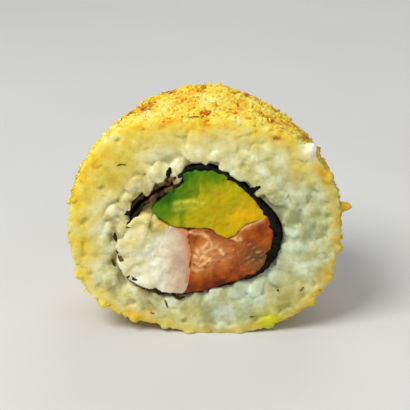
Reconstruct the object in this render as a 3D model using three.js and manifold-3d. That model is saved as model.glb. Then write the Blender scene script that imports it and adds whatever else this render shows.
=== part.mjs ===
// One cut slice of a deep-fried sushi roll, standing on its crumbed edge. Millimetres, +Z up.
// X runs across the cut face, Y through the slice from the shown face (-Y) to the far face.
// Rice with a crumb crust surrounds a sheet of nori, which wraps avocado, salmon, prawn and cream cheese.
// Every layer runs right through the slice, and both faces show the knife's slanting cut.
import * as THREE from "three";
import { ParametricGeometry } from "three/addons/geometries/ParametricGeometry.js";
import { mergeVertices } from "three/addons/utils/BufferGeometryUtils.js";
import Module from "manifold-3d";

const wasm = await Module();
wasm.setup();

// Driving dimensions
const ROLL_WIDTH = 50;
const ROLL_HEIGHT = 41;
const SLICE_LENGTH = 23;
const CUT_SLANT_DEG = 6;
const BASE_SINK = 0.6; // how far the round underside is pressed flat where it rests
const ROLL_SQUARENESS = { near: 2.4, far: 1.7 }; // exponent of the outline at each face: 2 is an ellipse
const CRUST_RIM = 1.3; // the crust's thickness where the cut shows it
const RIM_UNEVENNESS = 0.3; // the share of that by which it comes and goes
const CRAG_HEIGHT = 1.1; // from the crust's pits to its crags
const FACE_RELIEF = 0.9; // how far grains stand out of the rice behind them
const GRAIN_SINK = [0.7, 1.5]; // how deep a grain's middle lies behind the cut
const GRAIN_TILT = 0.3; // radians out of the cut's plane
const NORI_WALL = 0.7;
const LAYER_GAP = 0.8; // between the two layers where the nori overlaps itself
const FIT_GAP = 0.3;
const GRAIN = { length: 5.8, width: 2.7, unevenness: 0.14, sides: 5, rings: 4 };
const CRUMB = { small: 1.5, large: 2.7, count: 42 };

// Where the shown face bulges or is pressed in, which fades out towards the far face: direction in degrees
// from +X, height, half width in degrees
const ROLL_SWELLINGS = [
  { at: 34, height: -0.4, spread: 14 },
  { at: -55, height: -0.5, spread: 26 },
  { at: -118, height: -1.75, spread: 22 },
  { at: 126, height: 1.1, spread: 18 },
];
// Where the nori is crumpled and so thicker
const NORI_SWELLINGS = [{ at: -8, height: 1, spread: 24 }];

// The pocket in the rice: its centre, and the distance to its wall every 30 degrees from +X
const POCKET_CENTRE = { x: -0.8, z: 20 };
const POCKET_RADII = [15.2, 12.6, 12.3, 12.8, 12, 13.5, 15.4, 16.8, 14.2, 12, 11.8, 14.5];

// The nori starts inside its own overlap, goes once round the pocket and ends over its start
const NORI_START_DEG = 112;
const NORI_OVERLAP_DEG = 56;
const NORI_STEP_OUT_DEG = 22; // the turn in which the sheet steps from the inner to the outer layer

// Outlines of the fillings on the cut face, [x, z]. They reach past the nori where it holds them in.
const AVOCADO = [
  [-9.3, 23.8], [-7.2, 27], [-4.9, 30.6], [0.6, 34], [5, 32], [9, 28], [13.4, 24.6],
  [11.4, 23.1], [7.6, 21.5], [4.5, 19.6], [1.2, 20.5], [-3.4, 20.7], [-6.6, 22],
];
const SALMON = [
  [-3.1, 19.7], [-0.8, 20.1], [1.6, 20], [4.5, 18.8], [7.8, 20.9], [11.6, 22.6], [14, 23.2],
  [16, 19], [15, 12], [10, 8.6], [2, 6.6], [-4.4, 6.6], [-4.2, 8.6], [-3, 10.2], [-2.6, 13],
  [-2.8, 16.4],
];
const PRAWN = [
  [-3.7, 19.7], [-4.7, 20.3], [-6.4, 20.6], [-7.6, 18], [-7.9, 14], [-7.6, 11], [-7, 8],
  [-4.8, 7], [-4.6, 9], [-3.5, 10.5], [-3.1, 13], [-3.3, 16.4],
];
const CREAM_CHEESE = [
  [-7.1, 20.9], [-9.3, 22.9], [-9.9, 24.4], [-8.4, 28], [-13, 30], [-18, 24], [-18.5, 16],
  [-17, 10], [-13, 5], [-7.4, 5], [-7.5, 8.4], [-8.1, 11], [-8.4, 14], [-8.1, 18],
];
// How far each layer stands proud of the knife's cut at both faces
const PROUD = { nori: 0.3, avocado: 0.5, salmon: 0.3, prawn: 0.5, creamCheese: 0.2 };

const TURN = 2 * Math.PI;
const RIGHT_ANGLE = Math.PI / 2;
const SLANT = new THREE.Matrix4().makeShear(
  0, 0, 0, 0, 0, Math.tan(THREE.MathUtils.degToRad(CUT_SLANT_DEG)),
);

// A seeded source of numbers from 0 to 1
function randomFrom(seed) {
  let state = seed;
  return () => {
    state = (state + 0x6d2b79f5) | 0;
    let mixed = Math.imul(state ^ (state >>> 15), 1 | state);
    mixed = (mixed + Math.imul(mixed ^ (mixed >>> 7), 61 | mixed)) ^ mixed;
    return ((mixed ^ (mixed >>> 14)) >>> 0) / 4294967296;
  };
}

function between(random, low, high) {
  return low + (high - low) * random();
}

// Section outlines
function swelling(swellings, angle) {
  return swellings.reduce((sum, { at, height, spread }) => {
    const away = THREE.MathUtils.radToDeg(angle) - at;
    const nearest = away - 360 * Math.round(away / 360);
    return sum + height * Math.exp(-((nearest / spread) ** 2));
  }, 0);
}

function rollPoint(angle, along) {
  const halfWidth = ROLL_WIDTH / 2;
  const halfHeight = (ROLL_HEIGHT + BASE_SINK) / 2;
  const farness = along / SLICE_LENGTH + 0.5;
  const squareness = THREE.MathUtils.lerp(ROLL_SQUARENESS.near, ROLL_SQUARENESS.far, farness);
  const across = (Math.abs(Math.cos(angle)) / halfWidth) ** squareness;
  const up = (Math.abs(Math.sin(angle)) / halfHeight) ** squareness;
  const bulge = swelling(ROLL_SWELLINGS, angle) * (1 - farness);
  const radius = (across + up) ** (-1 / squareness) + bulge;
  return new THREE.Vector2(
    radius * Math.cos(angle),
    halfHeight - BASE_SINK + radius * Math.sin(angle),
  );
}

// A smooth closed curve through the pocket's radii
function pocketRadius(angle) {
  const count = POCKET_RADII.length;
  const place = (angle / TURN) * count;
  const first = Math.floor(place);
  const t = place - first;
  const [a, b, c, d] = [-1, 0, 1, 2].map(
    (step) => POCKET_RADII[THREE.MathUtils.euclideanModulo(first + step, count)],
  );
  return b + 0.5 * t * (c - a + t * (2 * a - 5 * b + 4 * c - d + t * (3 * (b - c) + d - a)));
}

function pocketPoint(angle, inset = 0) {
  const radius = pocketRadius(angle) - inset;
  return new THREE.Vector2(
    POCKET_CENTRE.x + radius * Math.cos(angle),
    POCKET_CENTRE.z + radius * Math.sin(angle),
  );
}

// The point a share of the way from the pocket's wall to the roll's outside
function ricePoint(angle, along, share) {
  return pocketPoint(angle).lerp(rollPoint(angle, along), share);
}

// Solids
function solidOf(geometry) {
  const bare = new THREE.BufferGeometry();
  bare.setAttribute("position", geometry.getAttribute("position"));
  bare.setIndex(geometry.index);
  const merged = mergeVertices(bare, 1e-4);
  const made = new wasm.Manifold(
    new wasm.Mesh({
      numProp: 3,
      vertProperties: merged.attributes.position.array,
      triVerts: new Uint32Array(merged.index.array),
    }),
  );
  return made;
}

function geometryOf(solid) {
  const { vertProperties, triVerts } = solid.getMesh();
  const geometry = new THREE.BufferGeometry();
  geometry.setAttribute("position", new THREE.BufferAttribute(new Float32Array(vertProperties), 3));
  geometry.setIndex(new THREE.BufferAttribute(new Uint32Array(triVerts), 1));
  return geometry;
}

// The main body of a fused solid: its sealed hollows are filled and loose scraps are dropped
function mainBody(solid) {
  return solid.decompose().reduce((main, piece) => (piece.volume() > main.volume() ? piece : main));
}

// An outline in the cut face's plane, drawn through the slice and standing proud at both faces
function through(outline, proud, bevel = 0) {
  const length = SLICE_LENGTH + 2 * proud;
  const geometry = new THREE.ExtrudeGeometry(new THREE.Shape(outline), {
    depth: length - 2 * bevel,
    bevelEnabled: bevel > 0,
    bevelThickness: bevel,
    bevelSize: bevel,
    bevelOffset: -bevel,
    bevelSegments: 2,
  });
  return geometry.translate(0, 0, bevel - length / 2).rotateX(RIGHT_ANGLE);
}

// Rice and crust
const CORE_STEPS = { round: 64, along: 10 };

// The section of the rice core, walked from the crust's back rim to the front, in through the front face,
// back along the pocket and out through the back face: each place along Y, and how far in from the crust
function coreSection() {
  const halfLength = SLICE_LENGTH / 2;
  const behindGrains = halfLength - FACE_RELIEF;
  const stations = [];
  for (let step = 0; step <= CORE_STEPS.along; step++) {
    const along = THREE.MathUtils.lerp(halfLength, -halfLength, step / CORE_STEPS.along);
    stations.push({ along, crust: true });
  }
  stations.push({ along: -halfLength, rim: CRUST_RIM }, { along: -behindGrains, rim: CRUST_RIM });
  stations.push({ along: -behindGrains, pocket: true }, { along: behindGrains, pocket: true });
  stations.push({ along: behindGrains, rim: CRUST_RIM }, { along: halfLength, rim: CRUST_RIM });
  stations.push(stations[0]);
  return stations;
}

function riceCore() {
  const section = coreSection();
  const random = randomFrom(11);
  const crags = section.map(() => Array.from({ length: CORE_STEPS.round }, random));
  const place = (u, v, target) => {
    const column = Math.round(u * CORE_STEPS.round) % CORE_STEPS.round;
    const row = Math.round(v * (section.length - 1)) % (section.length - 1);
    const { along, rim, crust, pocket } = section[row];
    const angle = (column / CORE_STEPS.round) * TURN;
    const inner = pocketPoint(angle, 1);
    const outer = rollPoint(angle, along);
    const outward = outer.clone().sub(inner).normalize();
    const rough = crags[row][column] - 0.5;
    const standing = crust ? CRAG_HEIGHT * rough : -rim * (1 + 2 * RIM_UNEVENNESS * rough);
    const point = pocket ? inner : outer.addScaledVector(outward, standing);
    target.set(point.x, along, point.y);
  };
  return solidOf(new ParametricGeometry(place, CORE_STEPS.round, section.length - 1));
}

// A grain of rice with its long axis at a heading in the cut face's plane
function grain(random, centre, along, heading) {
  const size = between(random, 1 - GRAIN.unevenness, 1 + GRAIN.unevenness);
  const geometry = new THREE.SphereGeometry(0.5, GRAIN.sides, GRAIN.rings);
  geometry.scale(GRAIN.width * size, GRAIN.length * size, GRAIN.width * size);
  geometry.rotateX(between(random, -GRAIN_TILT, GRAIN_TILT));
  geometry.rotateZ(heading - RIGHT_ANGLE).rotateX(RIGHT_ANGLE);
  return solidOf(geometry.translate(centre.x, along, centre.y));
}

// Grains lie in courses round each face: the course's share from pocket to crust, its grains,
// and how far their headings stray from its own, which is across the ring (90) or along it (0)
const COURSES = [
  { share: 0.12, grains: 21, heading: 65, stray: 40 },
  { share: 0.45, grains: 22, heading: 20, stray: 80 },
  { share: 0.76, grains: 25, heading: 10, stray: 50 },
];

function faceGrains() {
  const random = randomFrom(29);
  const made = [];
  for (const side of [-1, 1]) {
    for (const { share, grains, heading, stray } of COURSES) {
      for (let n = 0; n < grains; n++) {
        const angle = ((n + between(random, -0.25, 0.25)) / grains) * TURN;
        const along = side * (SLICE_LENGTH / 2 - between(random, ...GRAIN_SINK));
        const centre = ricePoint(angle, along, share + between(random, -0.05, 0.05));
        const tangent = angle + RIGHT_ANGLE;
        const turned = heading + between(random, -stray, stray);
        made.push(grain(random, centre, along, tangent + THREE.MathUtils.degToRad(turned)));
      }
    }
  }
  return made;
}

// A crumb of the crust, half sunk in it
function crumb(random, angle, along, length, width) {
  const geometry = new THREE.IcosahedronGeometry(0.5);
  geometry.scale(length, width, width * between(random, 0.7, 1));
  geometry.rotateX(between(random, 0, TURN)).rotateY(-angle);
  const centre = rollPoint(angle, along);
  return solidOf(geometry.translate(centre.x, along, centre.y));
}

// Crumbs that stand out on the slice: direction in degrees, how far behind the shown face, length and width
const LARGE_CRUMBS = [
  { at: 10, behind: 1.6, length: 6, width: 1.8 },
  { at: 39, behind: 2, length: 3.6, width: 3.2 },
  { at: -57, behind: 2, length: 2.6, width: 3.4 },
  { at: -150, behind: 7, length: 3.6, width: 3 },
];

function crustCrumbs() {
  const random = randomFrom(47);
  const goldenShare = (Math.sqrt(5) - 1) / 2;
  const reach = SLICE_LENGTH / 2 - CRUMB.large / 2;
  const made = LARGE_CRUMBS.map(({ at, behind, length, width }) =>
    crumb(random, THREE.MathUtils.degToRad(at), behind - SLICE_LENGTH / 2, length, width),
  );
  for (let n = 0; n < CRUMB.count; n++) {
    const along = THREE.MathUtils.lerp(-reach, reach, (n + 0.5) / CRUMB.count);
    const width = THREE.MathUtils.lerp(CRUMB.small, CRUMB.large, random() ** 2);
    made.push(crumb(random, n * goldenShare * TURN, along, width * between(random, 1, 1.5), width));
  }
  return made;
}

// The slab between the two knife cuts, down to the surface that the slice stands on
function knifeBlock() {
  const block = new THREE.BoxGeometry(2 * ROLL_WIDTH, SLICE_LENGTH, 2 * ROLL_HEIGHT);
  return solidOf(block.translate(0, 0, ROLL_HEIGHT));
}

function riceAndCrust() {
  const pocket = Array.from({ length: CORE_STEPS.round }, (_, n) =>
    pocketPoint((n / CORE_STEPS.round) * TURN),
  );
  const fused = wasm.Manifold.union([riceCore(), ...faceGrains(), ...crustCrumbs()])
    .intersect(knifeBlock())
    .subtract(solidOf(through(pocket, 1)));
  return mainBody(fused);
}

// Nori: how far the sheet's outer side lies inside the pocket's wall, a turn after its start
function noriInset(turned) {
  const innerLayer = FIT_GAP + NORI_WALL + LAYER_GAP;
  const share = (turned - NORI_OVERLAP_DEG) / NORI_STEP_OUT_DEG;
  return THREE.MathUtils.lerp(innerLayer, FIT_GAP, THREE.MathUtils.smoothstep(share, 0, 1));
}

function noriWall(angle) {
  return NORI_WALL + swelling(NORI_SWELLINGS, angle);
}

function nori() {
  const steps = 84;
  const outer = [];
  const inner = [];
  for (let step = 0; step <= steps; step++) {
    const turned = (step / steps) * (360 + NORI_OVERLAP_DEG);
    const angle = THREE.MathUtils.degToRad(NORI_START_DEG + turned);
    outer.push(pocketPoint(angle, noriInset(turned)));
    inner.push(pocketPoint(angle, noriInset(turned) + noriWall(angle)));
  }
  return through([...outer, ...inner.reverse()], PROUD.nori);
}

// Fillings: how many steps their outlines and the room inside the nori take, and the rounding at the cut
const FILLING = { steps: 36, roomSteps: 44, bevel: 0.5 };
const SHEET_END_DEG = 4; // the room stays inside the inner layer until it is this far past the sheet's end

function roomOutline() {
  return Array.from({ length: FILLING.roomSteps }, (_, n) => {
    const turned = (n / FILLING.roomSteps) * 360;
    const angle = THREE.MathUtils.degToRad(NORI_START_DEG - SHEET_END_DEG + turned);
    return pocketPoint(angle, noriInset(turned - SHEET_END_DEG) + noriWall(angle) + FIT_GAP);
  });
}

// A filling fills its outline, a smooth closed curve, where the nori leaves room for it
function filling(points, proud) {
  const corners = points.map(([x, z]) => new THREE.Vector3(x, z, 0));
  const curve = new THREE.CatmullRomCurve3(corners, true);
  const outline = curve.getSpacedPoints(FILLING.steps).slice(0, -1);
  const flat = outline.map(({ x, y }) => new THREE.Vector2(x, y));
  const whole = solidOf(through(flat, proud, FILLING.bevel));
  const room = solidOf(through(roomOutline(), proud, FILLING.bevel));
  return geometryOf(whole.intersect(room));
}

// Materials
const riceMaterial = new THREE.MeshStandardMaterial({ color: 0xe6dfae, roughness: 0.6, metalness: 0 });
const noriMaterial = new THREE.MeshStandardMaterial({ color: 0x15170d, roughness: 0.55, metalness: 0 });
const avocadoMaterial = new THREE.MeshStandardMaterial({ color: 0xb5b81e, roughness: 0.4, metalness: 0 });
const salmonMaterial = new THREE.MeshStandardMaterial({ color: 0xd9722c, roughness: 0.3, metalness: 0 });
const prawnMaterial = new THREE.MeshStandardMaterial({ color: 0xe6cdb4, roughness: 0.35, metalness: 0 });
const cheeseMaterial = new THREE.MeshStandardMaterial({ color: 0xf1ebc4, roughness: 0.5, metalness: 0 });

const slice = new THREE.Group();

function addNode(name, geometry, material) {
  const mesh = new THREE.Mesh(geometry.applyMatrix4(SLANT), material);
  mesh.name = name;
  slice.add(mesh);
}

addNode("rice", geometryOf(riceAndCrust()), riceMaterial);
addNode("nori", nori(), noriMaterial);
addNode("avocado", filling(AVOCADO, PROUD.avocado), avocadoMaterial);
addNode("salmon", filling(SALMON, PROUD.salmon), salmonMaterial);
addNode("prawn", filling(PRAWN, PROUD.prawn), prawnMaterial);
addNode("cream_cheese", filling(CREAM_CHEESE, PROUD.creamCheese), cheeseMaterial);

// The part's origin is the middle of its outer size, on the surface it stands on
const bounds = new THREE.Box3().setFromObject(slice);
const middle = bounds.getCenter(new THREE.Vector3());
slice.position.set(-middle.x, -middle.y, -bounds.min.z);

export default slice;
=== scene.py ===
import math

import bmesh
import bpy
import numpy as np
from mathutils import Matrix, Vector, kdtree, noise


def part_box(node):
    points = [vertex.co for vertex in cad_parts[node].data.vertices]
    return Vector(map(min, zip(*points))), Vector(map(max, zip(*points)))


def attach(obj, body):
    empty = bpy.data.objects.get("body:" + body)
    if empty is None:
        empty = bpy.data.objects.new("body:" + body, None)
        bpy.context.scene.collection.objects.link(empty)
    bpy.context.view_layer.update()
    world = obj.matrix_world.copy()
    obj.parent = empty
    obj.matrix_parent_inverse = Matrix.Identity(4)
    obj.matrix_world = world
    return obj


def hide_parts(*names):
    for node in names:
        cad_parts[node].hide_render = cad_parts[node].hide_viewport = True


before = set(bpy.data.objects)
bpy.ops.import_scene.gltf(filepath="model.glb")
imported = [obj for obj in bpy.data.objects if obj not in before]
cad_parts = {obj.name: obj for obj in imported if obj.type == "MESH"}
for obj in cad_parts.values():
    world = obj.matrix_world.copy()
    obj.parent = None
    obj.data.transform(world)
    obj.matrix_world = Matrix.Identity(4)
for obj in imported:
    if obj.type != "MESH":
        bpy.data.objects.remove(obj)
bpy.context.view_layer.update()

MM = 0.001
TURN = 2 * math.pi
scene = bpy.context.scene

# Driving dimensions, the same as the solids'
ROLL_WIDTH = 50
ROLL_HEIGHT = 41
SLICE_LENGTH = 23
CUT_SLANT = math.radians(6)
BASE_SINK = 0.6
ROLL_SQUARENESS = (2.4, 1.7)  # at the shown face and at the far face
# Swellings hold a direction in degrees from +x, a height and a spread in degrees
ROLL_SWELLINGS = [(34, -0.4, 14), (-55, -0.5, 26), (-118, -1.75, 22), (126, 1.1, 18)]
POCKET_CENTRE = (-0.8, 20)
# The distance to the pocket's wall every 30 degrees from +x
POCKET_RADII = np.array([15.2, 12.6, 12.3, 12.8, 12, 13.5, 15.4, 16.8, 14.2, 12, 11.8, 14.5])
NORI_WALL = 0.7
NORI_SWELLINGS = [(-8, 1, 24)]
NORI_START_DEG = 112
NORI_OVERLAP_DEG = 56
NORI_STEP_OUT_DEG = 22
LAYER_GAP = 0.8  # between the nori's layers
FIT_GAP = 0.3  # between the rice and the nori

HALF_LENGTH = SLICE_LENGTH / 2
HALF_WIDTH = ROLL_WIDTH / 2
HALF_HEIGHT = (ROLL_HEIGHT + BASE_SINK) / 2
ROLL_MIDDLE = HALF_HEIGHT - BASE_SINK  # height of the roll's axis


# Rises from 0 at the low value to 1 at the high one
def smooth_step(values, low, high):
    share = np.clip((values - low) / (high - low), 0, 1)
    return share * share * (3 - 2 * share)


# Outlines of the roll and of the pocket in its rice
def swelling(swellings, angle):
    total = np.zeros_like(angle)
    for at, height, spread in swellings:
        away = (np.degrees(angle) - at + 180) % 360 - 180
        total += height * np.exp(-((away / spread) ** 2))
    return total


def roll_radius(angle, along):
    farness = np.clip(along / SLICE_LENGTH + 0.5, 0, 1)
    near, far = ROLL_SQUARENESS
    squareness = near + (far - near) * farness
    across = (np.abs(np.cos(angle)) / HALF_WIDTH) ** squareness
    up = (np.abs(np.sin(angle)) / HALF_HEIGHT) ** squareness
    return (across + up) ** (-1 / squareness) + swelling(ROLL_SWELLINGS, angle) * (1 - farness)


# The smooth curve from b to c with neighbours a and d, at a share t of the way
def curve_between(a, b, c, d, t):
    return b + 0.5 * t * (c - a + t * (2 * a - 5 * b + 4 * c - d + t * (3 * (b - c) + d - a)))


def pocket_radius(angle):
    count = len(POCKET_RADII)
    turned = (angle / TURN) % 1 * count
    first = np.floor(turned).astype(int)
    a, b, c, d = (POCKET_RADII[(first + step) % count] for step in (-1, 0, 1, 2))
    return curve_between(a, b, c, d, turned - first)


def ring_points(angle, radius, along, centre):
    x = centre[0] + radius * np.cos(angle)
    z = centre[1] + radius * np.sin(angle)
    return np.column_stack(np.broadcast_arrays(x, along, z))


def on_roll(angle, along, out=0):
    return ring_points(angle, roll_radius(angle, along) + out, along, (0, ROLL_MIDDLE))


def on_pocket(angle, along, inset=0):
    return ring_points(angle, pocket_radius(angle) - inset, along, POCKET_CENTRE)


# The direction of points round the roll's axis, and round the pocket's centre
def round_roll(points):
    return np.arctan2(points[:, 2] - ROLL_MIDDLE, points[:, 0])


def round_pocket(points):
    return np.arctan2(points[:, 2] - POCKET_CENTRE[1], points[:, 0] - POCKET_CENTRE[0])


# How far points lie inside the roll's outline, outside the pocket's and behind the nearest cut
def inside_roll(points):
    from_axis = np.hypot(points[:, 0], points[:, 2] - ROLL_MIDDLE)
    return roll_radius(round_roll(points), points[:, 1]) - from_axis


def outside_pocket(points):
    from_centre = np.hypot(points[:, 0] - POCKET_CENTRE[0], points[:, 2] - POCKET_CENTRE[1])
    return from_centre - pocket_radius(round_pocket(points))


def behind_cut(points):
    return HALF_LENGTH - np.abs(points[:, 1])


# How far the nori's outer side lies inside the pocket's wall, a turn in degrees after its start
def nori_inset(turned):
    stepped = smooth_step(turned, NORI_OVERLAP_DEG, NORI_OVERLAP_DEG + NORI_STEP_OUT_DEG)
    return FIT_GAP + (NORI_WALL + LAYER_GAP) * (1 - stepped)


def nori_wall(angle):
    return NORI_WALL + swelling(NORI_SWELLINGS, angle)


# The slice's place in the frame, from the box of the nori's solid
def frame_shift():
    turned = np.linspace(0, 360 + NORI_OVERLAP_DEG, 2000)
    sheet = on_pocket(np.radians(NORI_START_DEG + turned), 0, nori_inset(turned))
    low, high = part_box("nori")
    x = (low.x + high.x) / 2 / MM - (sheet[:, 0].min() + sheet[:, 0].max()) / 2
    middle_height = (low.z + high.z) / 2 / MM
    y = (low.y + high.y) / 2 / MM - middle_height * math.tan(CUT_SLANT)
    return x, y


SHIFT_X, SHIFT_Y = frame_shift()


def place(points):
    x, y, z = points.T
    leaning = y + z * math.tan(CUT_SLANT)
    return np.column_stack([x + SHIFT_X, leaning + SHIFT_Y, z]) * MM


# Patterns over points
CURVE_STEPS = 16  # between two corners
NOISE_SHIFT = np.array([17.3, 5.1, 11.7])  # from one seed's noise to the next one's


# Fractal noise of about -1 to 1, with its largest lumps of that size
def rough(points, size, seed=0, octaves=3):
    shifted = points / size + NOISE_SHIFT * seed
    return np.array([noise.fractal(spot, 1.0, 2.0, octaves) for spot in shifted.tolist()])


# 1 at a place on the cut face, fading to 0 about a width away
def spot_at(points, x, z, width):
    return np.exp(-((points[:, 0] - x) ** 2 + (points[:, 2] - z) ** 2) / width ** 2)


# Several spots, each with its x, z, width and strength
def spots_at(points, spots):
    return sum(strength * spot_at(points, x, z, width) for x, z, width, strength in spots)


# A smooth curve through the corners
def smooth_curve(corners, closed=False):
    corners = np.array(corners, float)
    t = np.arange(CURVE_STEPS)[:, None] / CURVE_STEPS
    ends = "wrap" if closed else "clip"
    pieces = []
    for n in range(len(corners) if closed else len(corners) - 1):
        near = np.take(corners, np.arange(n - 1, n + 3), axis=0, mode=ends)
        pieces.append(curve_between(*near, t))
    return np.vstack(pieces)


# 1 along a smooth line through the corners on the cut face, fading to 0 about a width away
def stroke(points, corners, width):
    line = smooth_curve(corners)
    across = points[:, None, 0] - line[None, :, 0]
    up = points[:, None, 2] - line[None, :, 1]
    return np.exp(-(across ** 2 + up ** 2).min(axis=1) / width ** 2)


def strokes(points, lines, width):
    return sum(stroke(points, line, width) for line in lines)


# Meshes
def grid_faces(rows, columns, closed_rows=False, closed_columns=True):
    row_numbers = np.arange(rows if closed_rows else rows - 1)
    column_numbers = np.arange(columns if closed_columns else columns - 1)
    row, column = np.meshgrid(row_numbers, column_numbers, indexing="ij")
    below = (row + 1) % rows
    beside = (column + 1) % columns
    corners = [(row, column), (below, column), (below, beside), (row, beside)]
    return np.stack([at_row * columns + at_column for at_row, at_column in corners], -1).reshape(-1, 4)


# Rings of points, and then a middle point for each end
def tube_faces(rings, steps):
    faces = grid_faces(rings, steps).tolist()
    start = rings * steps
    for n in range(steps):
        beside = (n + 1) % steps
        faces.append([start, n, beside])
        faces.append([start + 1, start - steps + beside, start - steps + n])
    return faces


def ball(subdivisions):
    shape = bmesh.new()
    bmesh.ops.create_icosphere(shape, subdivisions=subdivisions, radius=0.5)
    points = np.array([v.co[:] for v in shape.verts])
    faces = np.array([[v.index for v in f.verts] for f in shape.faces])
    shape.free()
    return points, faces


def joined(parts):
    points = []
    faces = []
    start = 0
    for part_points, part_faces in parts:
        points.append(part_points)
        part_faces = np.asarray(part_faces, object).tolist()
        faces.extend([start + number for number in face] for face in part_faces)
        start += len(part_points)
    return np.vstack(points), faces


def mesh_of(points, faces):
    mesh = bpy.data.meshes.new("shape")
    mesh.from_pydata(np.asarray(points).tolist(), [], [list(face) for face in faces])
    return mesh


def points_of(mesh):
    flat = np.empty(3 * len(mesh.vertices))
    mesh.vertices.foreach_get("co", flat)
    return flat.reshape(-1, 3)


def add_object(name, data):
    made = bpy.data.objects.new(name, data)
    scene.collection.objects.link(made)
    return made


# Melts closed shapes into one skin, rounds the creases between them and keeps a share of the skin's triangles
def fused(points, faces, voxel, softening, kept):
    draft = add_object("draft", mesh_of(points, faces))
    melt = draft.modifiers.new("melt", "REMESH")
    melt.mode = "VOXEL"
    melt.voxel_size = voxel
    soften = draft.modifiers.new("soften", "SMOOTH")
    soften.iterations = softening
    thin = draft.modifiers.new("thin", "DECIMATE")
    thin.ratio = kept
    shaped = draft.evaluated_get(bpy.context.evaluated_depsgraph_get())
    mesh = bpy.data.meshes.new_from_object(shaped)
    bpy.data.objects.remove(draft)
    return mesh


# Makes a piece of a mesh in slice millimetres, with a value at each point for each attribute
def add_piece(name, mesh, material, slot, node=None, **attributes):
    for key, values in attributes.items():
        layer = mesh.attributes.new(key, "FLOAT", "POINT")
        layer.data.foreach_set("value", np.asarray(values, np.float32))
    mesh.vertices.foreach_set("co", place(points_of(mesh)).ravel())
    mesh.shade_smooth()
    mesh.name = name
    mesh.materials.append(material)
    made = add_object(name, mesh)
    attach(made, "root")
    if node:
        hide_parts(node)


# Rice and crust: a ring of pressed grains coated with crumbs, melted into one skin
RING_SEED = 7
GRAIN_BALL = ball(2)
GRAIN_LENGTH = 5.2
GRAIN_WIDTH = 2.4
GRAIN_SPACING = 2.5  # between the grains' middles, at least
GRAIN_TRIES = 9000
GRAIN_MARGINS = (0.8, 0.9)  # from a middle to the crust and to the pocket, at least
GRAIN_COVER = 0.5  # of crust over the grains, at least
GRAIN_SINK = (0.35, 1.3)  # how deep a grain's middle lies behind the cut
GRAIN_TILT = 0.7  # radians out of the cut's plane, at most
RIM_GRAINS = 34
RIM_GRAIN_SINK = (0.45, 1.5)
RIM_GRAIN_TILT = 0.35
# How far the innermost grains reach in over the nori, and where they reach further: direction, extra, spread
RIM_REACH = (-0.5, 1.3)
RIM_OVERHANGS = [(180, 0.5, 35), (270, 0.5, 30), (0, -0.5, 30)]
# Single grains that hang in over the nori at its upper left: x, z, direction away from the pocket
TEETH_SEED = 19
TEETH = [
    (-5, 30.9, 76), (-7.9, 30.9, 74), (-10.2, 28.8, 66), (-12.6, 28, 64), (-14.4, 25.4, 96),
    (-15.2, 23.4, 128), (-15.6, 21.4, 136), (-16, 19.4, 146), (-16.2, 17, 152),
]
TOOTH_PLUMPNESS = 0.84
TOOTH_SINK = 0.7
TOOTH_TILT = 0.24
TEETH_SPAN = (104, 186)  # directions round the pocket without other grains on its rim
FACE_DEPTH = 0.9  # from the cut to the rice behind the grains
CRUST_DEPTH = 1.3
EDGE_ROUNDING = 1
PROUD_KEPT = 0.15  # of what stands proud of the cut
CORE_STEPS = 420
CORE_STATIONS = 60
RING_VOXEL = 0.28
RING_SOFTENING = 2
RING_SHARE = 0.6  # of the melted skin's triangles


# Points turned about an axis: 0 for x, 1 for y, 2 for z
def turned_by(points, axis, angle):
    first = (axis + 1) % 3
    second = (axis + 2) % 3
    made = points.copy()
    made[:, first] = points[:, first] * math.cos(angle) - points[:, second] * math.sin(angle)
    made[:, second] = points[:, first] * math.sin(angle) + points[:, second] * math.cos(angle)
    return made


def grain(rng, spot, depth, heading, tilt, side, plumpness=1):
    points, faces = GRAIN_BALL
    length = GRAIN_LENGTH * rng.uniform(0.8, 1.1)
    width = plumpness * GRAIN_WIDTH * rng.uniform(0.85, 1.12)
    x, y, z = points.T
    bend = rng.uniform(-0.25, 0.25) * (2 * x) ** 2
    plump = 1 + 0.12 * np.cos(TURN * x)
    made = np.column_stack([x * length, y * width * plump, z * width * plump * 0.92 + bend])
    made = turned_by(made, 0, rng.uniform(0, TURN))
    made = turned_by(made, 2, tilt)
    made = turned_by(made, 1, -heading)
    return made + [spot[0], side * (HALF_LENGTH - depth), spot[1]], faces


# Places on a cut face, thrown at random over the rice and kept where they are far enough apart
def spaced_places(rng, side):
    thrown = rng.uniform((-HALF_WIDTH - 1, 0), (HALF_WIDTH + 1, ROLL_HEIGHT + 1), (GRAIN_TRIES, 2))
    spots = np.insert(thrown, 1, side * HALF_LENGTH, axis=1)
    from_crust, from_pocket = GRAIN_MARGINS
    thrown = thrown[(inside_roll(spots) > from_crust) & (outside_pocket(spots) > from_pocket)]
    kept = thrown[:1]
    for spot in thrown[1:]:
        if np.hypot(*(kept - spot).T).min() > GRAIN_SPACING:
            kept = np.vstack([kept, spot])
    return kept


# The grains round the pocket
def rim_grains(rng, side):
    made = []
    for n in range(RIM_GRAINS):
        angle = (n + rng.uniform(-0.3, 0.3)) / RIM_GRAINS * TURN
        across = math.radians(rng.uniform(10, 90))
        extent = math.hypot(GRAIN_LENGTH / 2 * math.sin(across), GRAIN_WIDTH / 2 * math.cos(across))
        reach = rng.uniform(*RIM_REACH) + swelling(RIM_OVERHANGS, np.array([angle]))[0]
        spot = on_pocket(np.array([angle]), 0, reach - extent)[0, [0, 2]]
        heading = angle + math.pi / 2 + across * rng.choice([-1, 1])
        sink = rng.uniform(*RIM_GRAIN_SINK)
        rim_grain = grain(rng, spot, sink, heading, rng.uniform(-RIM_GRAIN_TILT, RIM_GRAIN_TILT), side)
        if not TEETH_SPAN[0] < math.degrees(angle) < TEETH_SPAN[1]:
            made.append(rim_grain)
    return made


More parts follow.
